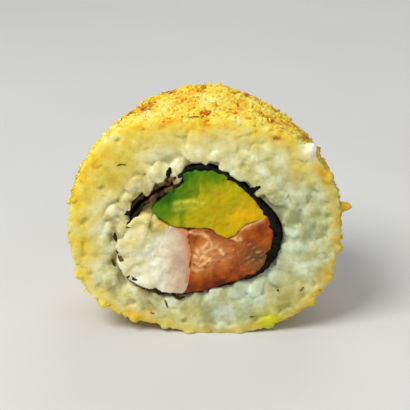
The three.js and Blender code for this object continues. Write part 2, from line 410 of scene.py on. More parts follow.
def face_grains(rng, side):
    made = rim_grains(rng, side)
    own_draws = np.random.default_rng(TEETH_SEED)
    for x, z, away in TEETH:
        tilt = -side * TOOTH_TILT
        made.append(grain(own_draws, (x, z), TOOTH_SINK, math.radians(away), tilt, side, TOOTH_PLUMPNESS))
    for spot in spaced_places(rng, side):
        tilt = rng.uniform(-GRAIN_TILT, GRAIN_TILT)
        made.append(grain(rng, spot, rng.uniform(*GRAIN_SINK), rng.uniform(0, TURN), tilt, side))
    return made


# How far the crust stands out of the roll's outline: lumpy, and rounded off towards both cuts
def crust_height(points):
    near_cut = np.clip((np.abs(points[:, 1]) - HALF_LENGTH) / EDGE_ROUNDING + 1, 0, 1)
    rounding = EDGE_ROUNDING * (1 - np.sqrt(1 - 0.95 * near_cut ** 2))
    lumps = 0.5 * rough(points, 5, seed=5, octaves=2) + 0.4 * rough(points, 2, seed=6, octaves=2)
    return lumps - rounding


def on_crust(angle, along, out=0):
    return on_roll(angle, along, crust_height(on_roll(angle, along)) + out)


# The section of the core runs along the crust, in over the shown face's rim, back through the pocket and out
def ring_core():
    angle = np.arange(CORE_STEPS) / CORE_STEPS * TURN
    behind = HALF_LENGTH - FACE_DEPTH
    rows = [on_crust(angle, along) for along in np.linspace(HALF_LENGTH, -HALF_LENGTH, CORE_STATIONS)]
    rim = CRUST_DEPTH * (1 + 0.4 * rough(on_roll(angle, 0), 3, seed=10))
    rows += [on_roll(angle, -HALF_LENGTH, -rim), on_roll(angle, -behind, -rim)]
    rows += [on_pocket(angle, -behind), on_pocket(angle, behind)]
    rows += [on_roll(angle, behind, -rim), on_roll(angle, HALF_LENGTH, -rim)]
    return np.vstack(rows), grid_faces(len(rows), CORE_STEPS, closed_rows=True)


# Draws in whatever would stick out through the crust
def kept_inside(points):
    excess = np.maximum(GRAIN_COVER - inside_roll(points), 0)
    up = points[:, 2] - ROLL_MIDDLE
    share = 1 - excess / np.hypot(points[:, 0], up)
    return np.column_stack([points[:, 0] * share, points[:, 1], ROLL_MIDDLE + up * share])


# The knife leaves what stands proud of the cut pressed nearly flat
def knife_cut(points):
    proud = np.abs(points[:, 1]) - HALF_LENGTH
    kept = np.where(proud > 0, PROUD_KEPT * proud, proud)
    points[:, 1] = np.sign(points[:, 1]) * (HALF_LENGTH + kept)
    return points


# Random rotation matrices
def random_turns(rng, count):
    q = rng.normal(size=(count, 4))
    w, x, y, z = (q / np.linalg.norm(q, axis=1, keepdims=True)).T
    return np.stack([
        np.stack([1 - 2 * (y * y + z * z), 2 * (x * y - z * w), 2 * (x * z + y * w)], -1),
        np.stack([2 * (x * y + z * w), 1 - 2 * (x * x + z * z), 2 * (y * z - x * w)], -1),
        np.stack([2 * (x * z - y * w), 2 * (y * z + x * w), 1 - 2 * (x * x + y * y)], -1),
    ], 1)


# Uneven crumbs, each one turned at random
def crumbs(rng, centres, sizes, unevenness, stretch):
    points, faces = ball(1)
    count = len(centres)
    shape = points[None] * rng.uniform(1 - unevenness, 1 + unevenness, (count, len(points), 1))
    shape = shape * rng.uniform(*stretch, (count, 1, 3)) * sizes[:, None, None]
    shape = np.einsum("nij,nvj->nvi", random_turns(rng, count), shape) + centres[:, None]
    starts = np.arange(count)[:, None, None] * len(points)
    return shape.reshape(-1, 3), (faces[None] + starts).reshape(-1, faces.shape[1])


CRUMBS = 6500
CRUMB_WIDTHS = (0.5, 1.3)
RIM_CRUMBS = 2400  # on the rims of the cut faces
RIM_CRUMB_WIDTHS = (0.45, 1)
RIM_BREADTH = 3
LOOSE_SEED = 41
LOOSE_CRUMBS = 2200
LOOSE_CRUMB_WIDTHS = (0.35, 0.9)
# Crumbs that stand out: direction, how far behind the shown face, length outwards, width. The first four are
# in the solids too
LARGE_CRUMBS = [
    (9, 1.6, 4.8, 2.4), (38, 1.2, 3, 3.4), (-57, 1.8, 2.6, 3.6), (-150, 7, 2.4, 3), (-35, 0.9, 2.2, 2.6),
    (-22, 1.3, 2.2, 3), (-8, 0.8, 1.8, 2.2), (-72, 0.8, 1.8, 2.6), (-98, 0.9, 1.8, 3), (-112, 0.8, 2, 2.2),
    (-128, 0.9, 2.2, 2.8), (-143, 0.8, 1.8, 2.4), (-160, 1, 1.8, 3), (24, 0.8, 1.8, 2.6),
]
# Spots of their own colour on the crust, with x, z and width
SPUR_SPOT = (25.6, 24.2, 1.8)
LIME_SPOT = (12.3, 2.4, 2.2)
WHITE_SPOT = (19.4, 35.6, 2)


def crust_crumbs(rng):
    angle = rng.uniform(0, TURN, CRUMBS)
    along = rng.uniform(-HALF_LENGTH, HALF_LENGTH, CRUMBS)
    least, most = CRUMB_WIDTHS
    widths = least + (most - least) * rng.uniform(0, 1, CRUMBS) ** 2.5
    on_side = on_crust(angle, along, widths * rng.uniform(-0.45, 0.05, CRUMBS))
    rim_angle = rng.uniform(0, TURN, RIM_CRUMBS)
    rim_depth = RIM_BREADTH * rng.uniform(0, 1, RIM_CRUMBS) ** 1.6 * (0.7 + 0.3 * np.cos(rim_angle - 2))
    side = rng.choice([-1, 1], RIM_CRUMBS)
    on_rim = on_roll(rim_angle, side * (HALF_LENGTH - rng.uniform(0.1, 0.5, RIM_CRUMBS)), -rim_depth)
    widths = np.concatenate([widths, rng.uniform(*RIM_CRUMB_WIDTHS, RIM_CRUMBS)])
    return np.vstack([on_side, on_rim]), widths


def large_crumbs():
    points, faces = ball(3)
    made = []
    for at, behind, length, width in LARGE_CRUMBS:
        shape = points * (1 + 0.3 * rough(points * 2 + at, 0.5)[:, None]) * [length, width, width * 0.85]
        centre = on_roll(np.radians([at]), behind - HALF_LENGTH)[0]
        made.append((turned_by(shape, 1, -math.radians(at)) + centre, faces))
    return made


# The number of the nearest place to each point
def nearest(points, places):
    tree = kdtree.KDTree(len(places))
    for number, spot in enumerate(places.tolist()):
        tree.insert(spot, number)
    tree.balance()
    return np.array([tree.find(spot)[1] for spot in points.tolist()])


# Spots of a stronger or weaker pattern on the cut face: x, z, width, strength
TEETH_SPOTS = [(-9.5, 31, 4, 1), (-17, 24, 3, 1)]
STAIN_SPOTS = [
    (-15.4, 31.2, 4, 1.1), (17.5, 32.5, 3.5, 0.5), (16, 7, 4, 0.35), (-23, 20, 4, 0.5), (-18.5, 10, 4, -0.5),
    (-18.5, 20, 2.5, -0.3),
]
SOIL_SPOTS = [
    (15.5, 7, 4.5, 0.36), (3, 4.4, 5, 0.2), (16, 30, 4, 0.1), (-15.4, 31.4, 4, 0.22), (-23.5, 20, 3, 0.2),
    (20, 33, 3, 0.12), (-17, 8, 4, 0.06), (21, 17, 4, 0.08),
]
BRIGHT_SPOTS = [(-9, 38.5, 5, 0.16), (-25, 20, 6, -0.16), (20, 33, 4, -0.1)]
DARK_SPOTS = [(-25, 18, 6, 0.45), (20, 33, 4, 0.2)]
# The same over a range of directions: direction, strength, spread
FLATTEST = [(125, 0.18, 60), (5, 0.1, 40)]
MOST_STAINED = [(136, 1, 52)]
WHITEST = [(-48, 1, 40)]
PRESSED_SHARE = 0.76  # of the relief that is within the pressed depth
PRESSED_DEPTH = 1.2


# 1 round the grains that hang in over the nori
def by_teeth(points):
    return spots_at(points, TEETH_SPOTS)


# 1 towards a direction on the cut face, in degrees, and -1 away from it
def towards(points, degrees):
    return np.cos(round_roll(points) - math.radians(degrees))


# Presses the grains' relief flat, except round the pocket, where they stay plump
def pressed(points):
    depth = behind_cut(points)
    edge = 1.4 + 1.2 * by_teeth(points)
    flat = smooth_step(outside_pocket(points) - edge, 0, 2.2) * smooth_step(inside_roll(points), 1, 3)
    flat *= smooth_step(rough(points, 5, seed=16), -0.8, -0.1)
    share = PRESSED_SHARE + swelling(FLATTEST, round_roll(points))
    raised = depth - share * flat * np.clip(depth, 0, PRESSED_DEPTH)
    points[:, 1] = np.sign(points[:, 1]) * (HALF_LENGTH - raised)
    return points


# How far the crust is fried: more on top and behind the shown face's rim, and in patches
def browning(points):
    top = smooth_step(points[:, 2], 24, 40)
    behind = smooth_step(points[:, 1], -10, -3)
    patches = rough(points, 6, seed=8, octaves=2)
    mottle = rough(points, 2.2, seed=9, octaves=3)
    bright_rim = spots_at(points, BRIGHT_SPOTS) * smooth_step(-points[:, 1], 4, 9)
    return 0.36 + 0.1 * top + 0.1 * behind + 0.46 * patches + 0.42 * mottle - bright_rim


# How yellow the rice is: stained by the frying next to the crust, and painted warm light, most at the upper
# left
def staining(points):
    favoured = swelling(MOST_STAINED, round_roll(points))
    near_crust = 1 - smooth_step(inside_roll(points), 1, 9)
    patches = rough(points, 4, seed=3)
    spots = spots_at(points, STAIN_SPOTS)
    return near_crust * (0.34 + 0.72 * favoured) + 0.3 * patches + spots - 0.4 * by_teeth(points)


# Painted highlight: how far the shaded rice is lightened to bluish white, most below the salmon
def whitening(points):
    near_pocket = 1 - smooth_step(outside_pocket(points), 2, 7)
    return 0.6 * near_pocket * swelling(WHITEST, round_roll(points))


# Painted shade, olive brown on the rice: left of the pocket, between the grains that hang in over
# the nori, and faintly elsewhere
def soiling(points):
    between = by_teeth(points) * smooth_step(behind_cut(points), 0.15, 0.75)
    near_pocket = 1 - smooth_step(outside_pocket(points), 0.3, 2.4)
    patches = smooth_step(rough(points, 2, seed=17), -0.4, 0.4)
    at_left = smooth_step(towards(points, 190), 0, 0.7)
    return 0.8 * near_pocket * patches * at_left + 0.75 * between + spots_at(points, SOIL_SPOTS)


# 1 on the crust, fading out over the rim of the cut: furthest in at the top and the left
def crusting(points):
    depth = inside_roll(points) + 1.1 * rough(points, 2, seed=11)
    return 1 - smooth_step(depth / (3.2 + 1.2 * towards(points, 115)), 0.05, 1)


# 1 on the side that the light favours, at the upper left, and less on two darker places of the rim
def lighting(points):
    from_light = points[:, 0] - points[:, 2] + ROLL_MIDDLE
    return 1 - smooth_step(from_light, -22, 26) - spots_at(points, DARK_SPOTS)


def build_ring(material):
    rng = np.random.default_rng(RING_SEED)
    grains, grain_faces = joined(face_grains(rng, -1) + face_grains(rng, 1))
    grains = kept_inside(grains)
    centres, widths = crust_crumbs(rng)
    small, small_faces = crumbs(rng, centres, widths, 0.15, stretch=(0.75, 1.3))
    parts = [ring_core(), (knife_cut(grains), grain_faces), (knife_cut(small), small_faces)]
    points, faces = joined(parts + large_crumbs())
    mesh = fused(points, faces, RING_VOXEL, RING_SOFTENING, RING_SHARE)
    points = pressed(points_of(mesh))
    points[:, 2] = np.maximum(points[:, 2], 0)
    mesh.vertices.foreach_set("co", points.ravel())
    crumb_shade = rng.normal(0, 1, len(centres))[nearest(points, centres)]
    each = len(GRAIN_BALL[0])
    grain_tone = rng.uniform(0, 1, len(grains) // each)[nearest(points, grains) // each]
    add_piece(
        "rice_ring", mesh, material, "rice", "rice",
        crust=crusting(points),
        brown=browning(points) + 0.1 * crumb_shade + 0.45 * spot_at(points, *SPUR_SPOT),
        stained=np.clip(staining(points), 0, 1),
        soiled=soiling(points),
        whitened=whitening(points),
        grain_tone=grain_tone,
        # Painted shade in the creases follows this depth
        sunk=behind_cut(points),
        lit=lighting(points),
        lime=spot_at(points, *LIME_SPOT) * (points[:, 1] < -6),
        white=spot_at(points, *WHITE_SPOT) * (points[:, 1] < -8),
    )


# Loose crumbs on the crust, which keep their edges
def build_loose_crumbs(material):
    rng = np.random.default_rng(LOOSE_SEED)
    angle = rng.uniform(0, TURN, LOOSE_CRUMBS)
    along = rng.uniform(-HALF_LENGTH, HALF_LENGTH, LOOSE_CRUMBS)
    widths = rng.uniform(*LOOSE_CRUMB_WIDTHS, LOOSE_CRUMBS)
    centres = on_crust(angle, along, rng.uniform(0, 0.3, LOOSE_CRUMBS))
    points, faces = crumbs(rng, centres, widths, 0.35, stretch=(0.4, 1.6))
    points = knife_cut(points)
    points[:, 2] = np.maximum(points[:, 2], 0)
    shade = browning(centres) + rng.normal(0, 0.12, LOOSE_CRUMBS)
    add_piece(
        "loose_crumbs", mesh_of(points, faces), material, "rice",
        crust=np.ones(len(points)), brown=np.repeat(shade, len(points) // LOOSE_CRUMBS), lit=lighting(points),
    )


# Nori
NORI_STEPS = 640
NORI_STATIONS = 26
NORI_THINNEST = 0.15
# How far the sheet's edge stands out of the cut, and where it is more or less: direction, extra, spread
NORI_PROUD = 0.1
NORI_EDGES = [(185, -0.2, 35), (270, -0.4, 20), (20, 0.3, 40)]
NORI_BROWNED = [(132, 0.5, 30), (205, 0.45, 40)]  # the same for how brown it is


# The sheet's outer side runs from the shown face to the far one, and its inner side back
def build_nori(material):
    turned = np.linspace(0, 360 + NORI_OVERLAP_DEG, NORI_STEPS)
    angle = np.radians(NORI_START_DEG + turned)
    rows = []
    for inner in (False, True):
        for y in np.linspace(-1, 1, NORI_STATIONS) * (-1 if inner else 1) * HALF_LENGTH:
            spot = on_pocket(angle, y)
            crumple = 0.4 * rough(spot, 1.8, seed=12)
            thickness = nori_wall(angle) * (0.9 + 0.7 * rough(spot, 2, seed=14))
            inset = nori_inset(turned) + (np.maximum(thickness, NORI_THINNEST) if inner else 0)
            at_edge = abs(y) > HALF_LENGTH - 0.01
            ragged = NORI_PROUD + swelling(NORI_EDGES, angle) + 0.5 * rough(spot, 1.4, seed=13)
            reach = y + np.sign(y) * ragged if at_edge else y
            rows.append(on_pocket(angle, reach, inset + crumple))
    points = np.vstack(rows)
    faces = grid_faces(len(rows), NORI_STEPS, closed_rows=True, closed_columns=False).tolist()
    for station in range(NORI_STATIONS - 1):
        back = 2 * NORI_STATIONS - 1 - station
        start = [station, station + 1, back - 1, back]
        faces.append([row * NORI_STEPS for row in reversed(start)])
        faces.append([(row + 1) * NORI_STEPS - 1 for row in start])
    browned = 0.25 + swelling(NORI_BROWNED, round_pocket(points)) + 0.4 * rough(points, 1.6, seed=15)
    add_piece("nori_sheet", mesh_of(points, faces), material, "nori", "nori", browned=browned)


# Fillings: outlines on the cut face, (x, z)
AVOCADO = [
    (-9.6, 24.1), (-7.6, 26.8), (-5, 30.2), (0.4, 34), (5, 32), (9, 28), (13.4, 24.6),
    (11.4, 22.8), (7.8, 21.4), (5.6, 19.4), (4.1, 18.8), (2.4, 19.6), (0.6, 20.6), (-3.4, 20.9), (-6.8, 21.6),
]
SALMON = [
    (-3.4, 19.9), (-0.8, 20.8), (1.8, 20.4), (4.2, 19.1), (5.6, 19.7), (7.6, 21.5), (11.6, 23.1), (14, 23.2),
    (16, 19), (15, 12), (10, 8.6), (2, 6.6), (-4.4, 6.6), (-3.9, 8.6), (-3.3, 11), (-3, 14), (-3, 17),
]
PRAWN = [
    (-2.9, 19.9), (-4.6, 20.9), (-6.6, 21.1), (-7.6, 19), (-8.8, 16.4), (-8.2, 14), (-8.8, 11.6), (-8, 8),
    (-4.2, 6.6), (-3.4, 8.6), (-2.9, 10.4), (-2.5, 12.4), (-3, 14), (-2.4, 16), (-3, 18),
]
CREAM_CHEESE = [
    (-6.6, 21), (-8.6, 22.6), (-9.4, 24.4), (-8.4, 28), (-13, 30), (-18, 24), (-18.5, 16),
    (-17, 10), (-13, 5), (-7, 5), (-7, 8.4), (-7.4, 11), (-7.7, 14), (-7.2, 18),
]
# How far the fillings press over the nori, and where it is more: direction, extra, spread
NORI_PRESS = 0.25
NORI_PRESSES = [(195, 0.7, 32), (285, 0.3, 30)]
ROOM_LEAD_DEG = 4  # before the nori's start
FILLING_WAVES = 0.24  # of its outline
SIDE_STEPS = 300
SIDE_STATIONS = 8
SIDE_SETBACK = 3  # from the cut to the side's first station
CAP_RINGS = 56


def cross(first, second):
    return first[..., 0] * second[..., 1] - first[..., 1] * second[..., 0]


# How far a closed outline lies from a centre in each direction
def outline_reach(outline, centre, angle):
    start = outline - centre
    step = np.roll(start, -1, axis=0) - start
    ray = np.column_stack([np.cos(angle), np.sin(angle)])[:, None]
    crossing = cross(ray, step)
    with np.errstate(divide="ignore", invalid="ignore"):
        out = cross(start, step) / crossing
        share = cross(start, ray) / crossing
    hit = (share >= -1e-9) & (share <= 1 + 1e-9) & (out > 0)
    return np.where(hit, out, np.inf).min(axis=1)


# The room for the fillings: once round the nori's inner side
def room_outline():
    turned = np.linspace(0, 360, 400, endpoint=False) - ROOM_LEAD_DEG
    angle = np.radians(NORI_START_DEG + turned)
    inset = nori_inset(turned) + nori_wall(angle) - NORI_PRESS - swelling(NORI_PRESSES, angle)
    return on_pocket(angle, 0, inset)[:, [0, 2]]


# A face of a filling, in rings from its middle: relief(points) says how far it stands out of the cut
def filling_cap(angle, radius, centre, side, relief, rounding):
    rings = []
    for share in np.linspace(0, 1, CAP_RINGS)[1:]:
        ring = ring_points(angle, radius * share, 0, centre)
        from_edge = radius * (1 - share)
        fall = np.clip(1 - from_edge / rounding, 0, 1)
        drop = rounding * (1 - np.sqrt(np.maximum(1 - fall ** 2, 0)))
        ring[:, 1] = side * (HALF_LENGTH + relief(ring) - drop)
        rings.append(ring)
    return rings


# A filling right through the slice, with a rule for each attribute that colours it
def build_filling(name, corners, centre, relief, rounding, material, slot, **colouring):
    centre = np.array(centre, float)
    angle = np.arange(SIDE_STEPS) / SIDE_STEPS * TURN
    outline = outline_reach(smooth_curve(corners, closed=True), centre, angle)
    radius = np.minimum(outline, outline_reach(room_outline(), centre, angle))
    radius = radius + FILLING_WAVES * rough(ring_points(angle, radius, 0, centre), 1.5, seed=20)
    stations = np.linspace(-1, 1, SIDE_STATIONS + 2)[1:-1] * (HALF_LENGTH - SIDE_SETBACK)
    rows = filling_cap(angle, radius, centre, -1, relief, rounding)
    rows += [ring_points(angle, radius, along, centre) for along in stations]
    rows += reversed(filling_cap(angle, radius, centre, 1, relief, rounding))
    middle = np.array([[centre[0], 0, centre[1]]])
    reach = np.array([0, HALF_LENGTH + relief(middle)[0], 0])
    points = np.vstack(rows + [middle - reach, middle + reach])
    mesh = mesh_of(points, tube_faces(len(rows), SIDE_STEPS))
    attributes = {key: rule(points) for key, rule in colouring.items()}
    add_piece(name, mesh, material, slot, slot, **attributes)


AVOCADO_SKIN_SIDE = [(-10, 23), (-8, 26.6), (-5, 30), (-1.5, 32), (2.5, 32.4), (6, 31)]
AVOCADO_RIDGES = [[(-5.4, 25.5), (-3, 26), (-0.4, 25.7)], [(-5.6, 24.4), (-3.4, 24.8), (-1.4, 24.6)]]
AVOCADO_DENTS = [
    [(-5, 26.6), (-3.3, 26.8)], [(2.8, 27.8), (2.8, 25.6), (3.2, 24.4)], [(1.6, 27.4), (1.5, 26)],
]


def avocado_relief(points):
    dome = 0.45 - 0.004 * ((points[:, 0] - 1) ** 2 + (points[:, 2] - 26) ** 2)
    marks = dome + 0.16 * strokes(points, AVOCADO_RIDGES, 0.5) - 0.1 * strokes(points, AVOCADO_DENTS, 0.45)
    return marks + 0.3 * rough(points, 3, seed=21) + 0.08 * rough(points, 0.8, seed=26)


SALMON_CURLS = [
    [(-2.6, 20.1), (-1.5, 20.1), (-0.4, 19.7), (0.6, 19)],
    [(0.9, 18.6), (1.2, 17.8), (0.9, 16.9), (0.2, 16.5)],
    [(0.4, 18.2), (0, 17.4), (-0.7, 17)],
    [(-0.2, 16.2), (-1.1, 16.1), (-1.7, 16.5)],
    [(-1.9, 15.5), (-1.2, 15), (-0.3, 15.3), (0.5, 14.8), (1, 15.2)],
    [(-1.9, 14.1), (-1, 13.8), (-0.3, 14.2), (0.4, 14)],
    [(-2.2, 13.1), (-1.4, 12.7), (-0.6, 13.1)],
    [(2.2, 17.4), (3, 16.6), (3.2, 15.8)],
    [(5.4, 18.6), (6.4, 18.9)],
]
SALMON_EDGE = [(5, 19.6), (7.4, 21.2), (10.4, 22.8)]
FLAKE_SPACING = 0.9
FLAKE_SLANT = 0.62  # radians up to the right


# The flakes at the right, as waves from -1 to 1
def salmon_flakes(points):
    along, _, across = turned_by(points, 1, FLAKE_SLANT).T
    waves = np.sin(TURN * across / FLAKE_SPACING + 3 * rough(points, 3, seed=33) + 0.3 * along)
    broken = smooth_step(rough(points, 1.6, seed=34), -0.2, 0.3)
    return waves * broken * spot_at(points, 9.4, 15.6, 3.4)


# The pale curled layers near the prawn, broken up along their length
def salmon_curls(points, width):
    broken = smooth_step(rough(points, 0.9, seed=36), -0.9, 0.1)
    sway = [rough(points, 1.1, seed=39), np.zeros(len(points)), rough(points, 1.1, seed=40)]
    wandering = points + 0.35 * np.column_stack(sway)
    return broken * np.clip(strokes(wandering, SALMON_CURLS, width), 0, 1)


def salmon_relief(points):
    curls = salmon_curls(points, 0.6)
    hollow = spot_at(points, 4.2, 18.2, 2.2) + 0.7 * spot_at(points, -1.6, 18, 1)
    soft = 0.3 * rough(points, 2.4, seed=22) + 0.18 * rough(points, 0.9, seed=27)
    return 0.25 + 0.22 * curls - 0.5 * hollow + 0.07 * salmon_flakes(points) + soft


def cheese_relief(points):
    lumps = 0.8 * rough(points, 3, seed=24, octaves=2) + 0.14 * rough(points, 1.1, seed=25)
    return 0.2 + lumps - 1.6 * smooth_step(points[:, 2], 22.6, 25)


# Its left side runs into the cream cheese without a step
def prawn_relief(points):
    swell = 0.1 + 0.5 * spot_at(points, -5.2, 14.5, 4.5) + 0.16 * rough(points, 2.4, seed=23)
    share = smooth_step(points[:, 0], -8, -5.4)
    return swell * share + (cheese_relief(points) + 0.1) * (1 - share) + 0.05 * rough(points, 0.8, seed=28)


# Colour rules of the fillings, about 0 to 1 over their faces
def avocado_ripe(points):
    skin = stroke(points, AVOCADO_SKIN_SIDE, 3.6) + 0.2 * stroke(points, AVOCADO_SKIN_SIDE, 1.2)
    rightwards = smooth_step(points[:, 0], -9, 9)
    # Painted highlight along the knife ridges; darker along the dents
    cuts = 0.14 * strokes(points, AVOCADO_RIDGES, 0.5) - 0.08 * strokes(points, AVOCADO_DENTS, 0.4)
    dark = spot_at(points, -6.6, 27, 1.2)
    amber = spot_at(points, 7, 21.6, 3)
    tip = spot_at(points, -9.4, 23.8, 1.8) + 0.5 * spot_at(points, -6.6, 22.4, 1.6)
    marks = cuts - 0.14 * dark + 0.12 * amber + 0.3 * tip
    return 0.38 + 0.4 * rightwards - 0.38 * skin + marks + 0.12 * rough(points, 2.6, seed=31)


# Painted highlight along the knife ridges, broken up
def avocado_pale(points):
    broken = smooth_step(rough(points, 1.1, seed=38), -0.6, 0.2)
    upper, lower = AVOCADO_RIDGES
    return 0.75 * broken * stroke(points, upper, 0.42) + 0.3 * broken * stroke(points, lower, 0.5)


# Painted shade: darker towards the bottom and on the upper right lobe, over the flesh's own tone
def salmon_deep(points):
    low = 1 - smooth_step(points[:, 2] - 0.22 * points[:, 0], 7.2, 13)
    lobe = 0.13 * spot_at(points, 11, 20.5, 2.6)
    return 0.44 + 0.46 * low + lobe + 0.25 * rough(points, 2, seed=32)


# Painted sheen and shade: grey brown at the right, next to the nori
def salmon_grey(points):
    return np.clip(0.85 * spot_at(points, 10.4, 15.2, 2.6) + 0.4 * spot_at(points, 8, 15.4, 2.2), 0, 1)


# The curls are the fat; the pale spots and the line along the avocado's edge are painted highlights, and the
# flakes' pale crests a painted sheen
def salmon_fat(points):
    curls = 0.9 * salmon_curls(points, 0.33) + 0.18 * salmon_curls(points, 1)
    pale = 0.22 * spot_at(points, 0.2, 15.4, 2.4) + 0.2 * spot_at(points, 3.4, 16, 2.4)
    edge = 0.5 * stroke(points, SALMON_EDGE, 0.7)
    flakes = 0.45 * np.maximum(salmon_flakes(points), 0) ** 2
    return np.clip(0.8 * curls + pale + edge + flakes, 0, 1)


PRAWN_EDGES = [
    [(-5, 21), (-4, 20.2), (-3.3, 18.8)], [(-3.2, 18.2), (-2.9, 16.4), (-3, 15)], [(-3, 12), (-3.3, 10.6)],
]


def prawn_blush(points):
    edges = sum(0.6 * stroke(points, edge, 0.45) + 0.12 * stroke(points, edge, 1.6) for edge in PRAWN_EDGES)
    return np.clip(edges, 0, 1)


def prawn_pale(points):
    return 1 - smooth_step(points[:, 0] + 0.8 * rough(points, 2, seed=37), -8.4, -4.8)


def cheese_amber(points):
    return spot_at(points, -7.6, 21.8, 1.3)


def cheese_shade(points):
    upwards = 0.3 * smooth_step(points[:, 2], 18, 23)
    # Painted shade: darker towards the recess under the nori
    recess = 0.6 * smooth_step(points[:, 2], 23, 25)
    patches = 0.45 + 0.35 * rough(points, 2.6, seed=35)
    return patches + upwards + recess - 0.25 * spot_at(points, -9.6, 12.5, 3.4)


# Flecks
FLECK_THICKNESS = 0.16
FLECK_SIDES = 8
# Flecks on the shown face: the line that each one follows, its width and how dark it is
FACE_FLECKS = [
    ([(6.8, 27.9), (8.4, 28), (10.2, 28.8)], 1.1, 1),
    ([(-6.8, 30.4), (-6.6, 31.4), (-6.3, 32.4)], 0.9, 1),
    ([(-16, 32.6), (-15.2, 32.9), (-14.3, 32.8)], 0.3, 0.6),
    ([(-7.6, 6.8), (-7.3, 6), (-7, 5)], 0.4, 0.5),
    ([(-13.9, 11.4), (-12.7, 10.3), (-11.2, 9.9)], 0.8, 0.8),
    ([(-9.8, 9.1), (-8.4, 8.2), (-6.8, 8.4)], 0.9, 0.9),
    ([(-6.1, 7.9), (-4.9, 7.2), (-3.6, 7.4)], 0.7, 0.85),
    ([(-17.3, 14.9), (-16.7, 13.3)], 0.6, 0.7),
    ([(-16.7, 20), (-16.5, 18.2)], 0.6, 0.85),
    ([(-16.4, 17), (-16.2, 15.8)], 0.45, 0.75),
    ([(13.5, 8.6), (13.9, 8.7)], 0.5, 0.9),
    ([(-10.4, 4.2), (-9.2, 3.8)], 0.4, 0.45),
    ([(17.8, 8.4), (18.6, 9.4)], 0.35, 0.5),
    ([(8.4, 3.3), (9.4, 3.4)], 0.3, 0.7),
]
# Flecks on the crust, on lines of directions and distances behind the shown face
CRUST_FLECKS = [
    ([(99, 1.3), (96, 0.7), (93, 0.6), (90, 1.2)], 0.4, 0.66),
    ([(90, 2), (89, 3.4), (87, 4.6)], 1.3, 0.1),
    ([(101.5, 2), (101, 2.5)], 0.5, 0.9),
    ([(60, 4), (58.5, 5)], 0.3, 0.8),
    ([(128, 9), (126, 10.4), (125, 11)], 0.3, 0.7),
    ([(34, 14), (32, 15)], 0.35, 0.6),
    ([(160, 6), (158, 7.2)], 0.3, 0.6),
    ([(205, 15), (203, 16)], 0.4, 0.6),
    ([(75, 18), (73, 19.2)], 0.3, 0.8),
    ([(-20, 10), (-22, 11)], 0.35, 0.6),
]


# A thin flake along a line, widest in the middle: outward says which way is away from the surface under it
def flake(line, outward, width):
    t = np.linspace(0, 1, len(line))[:, None]
    half = width / 2 * np.sin(math.pi * (0.05 + 0.9 * t)) ** 0.8
    forward = np.gradient(line, axis=0)
    sideways = np.cross(forward, outward)
    sideways /= np.linalg.norm(sideways, axis=1, keepdims=True)
    thick = half / half.max() * FLECK_THICKNESS / 2
    ragged = [half * (1 + 0.5 * rough(line, 0.5, seed=seed)[:, None]) for seed in (41, 42)]
    strands = []
    for turn in np.arange(FLECK_SIDES) / FLECK_SIDES * TURN:
        edge = ragged[math.cos(turn) > 0]
        strands.append(line + sideways * edge * math.cos(turn) + outward * thick * math.sin(turn))
    points = np.vstack([np.stack(strands, 1).reshape(-1, 3), line[:1], line[-1:]])
    return points, tube_faces(len(line), FLECK_SIDES)


def build_flecks(material):
    parts = []
    for corners, width, _ in FACE_FLECKS:
        line = np.insert(smooth_curve(corners), 1, -HALF_LENGTH - 0.05, axis=1)
        parts.append(flake(line, np.array([[0, -1.0, 0]]), width))
    for corners, width, _ in CRUST_FLECKS:
        at, behind = smooth_curve(corners).T
        angle = np.radians(at)
        line = on_crust(angle, behind - HALF_LENGTH, 0.3)
        parts.append(flake(line, np.column_stack([np.cos(angle), 0 * angle, np.sin(angle)]), width))
    points, faces = joined(parts)
    flecks = FACE_FLECKS + CRUST_FLECKS
    dark = np.concatenate([np.full(len(part[0]), fleck[2]) for part, fleck in zip(parts, flecks)])
    add_piece("flecks", mesh_of(points, faces), material, "rice", dark=dark)


# Materials. Colours are red, green and blue from 0 to 255
def srgb(*colour):
    shares = [value / 255 for value in colour]
    return [s / 12.92 if s <= 0.04045 else ((s + 0.055) / 1.055) ** 2.4 for s in shares] + [1]


